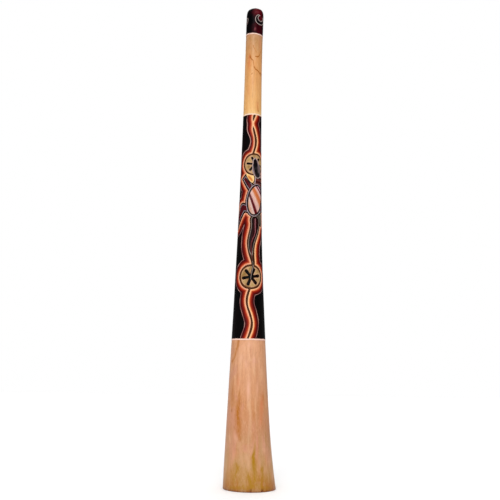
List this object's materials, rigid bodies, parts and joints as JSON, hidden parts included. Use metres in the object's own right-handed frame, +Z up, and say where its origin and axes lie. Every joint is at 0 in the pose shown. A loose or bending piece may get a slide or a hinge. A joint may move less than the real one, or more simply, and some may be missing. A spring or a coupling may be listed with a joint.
{
  "type": "didgeridoo",
  "caption": "Tall bowed wooden trumpet with a flared bell, wax mouthpiece, black painted band and painted mouth end, standing on its bell.",
  "frame": {"origin": "centre of the bell's rim, in the plane that it stands on", "axes": "+Z up along the trunk to the mouth; -Y is the painted front; the log bows towards -X and its glue seams lie in the plane Y = 0"},
  "size_m": [0.1376, 0.1376, 1.3],
  "materials": {
    "wood": "satin lacquered pale hardwood with long streaks",
    "glue": "hard wood glue, flush with the wood",
    "beeswax": "dark beeswax, polished by use",
    "black_lacquer": "glossy black paint under clear lacquer",
    "cream_paint": "hand painted cream acrylic under lacquer",
    "red_paint": "hand painted red to orange acrylic under lacquer",
    "ochre_paint": "hand painted ochre acrylic under lacquer"
  },
  "bodies": {
    "root": {"trunk_front": "wood", "trunk_back": "wood", "glue_seam": "glue", "wax_mouthpiece": "beeswax", "mouth_coat": "black_lacquer", "band_coat": "black_lacquer", "mouth_line": "cream_paint", "band_upper_line": "cream_paint", "band_lower_line": "cream_paint"}
  },
  "joints": []
}
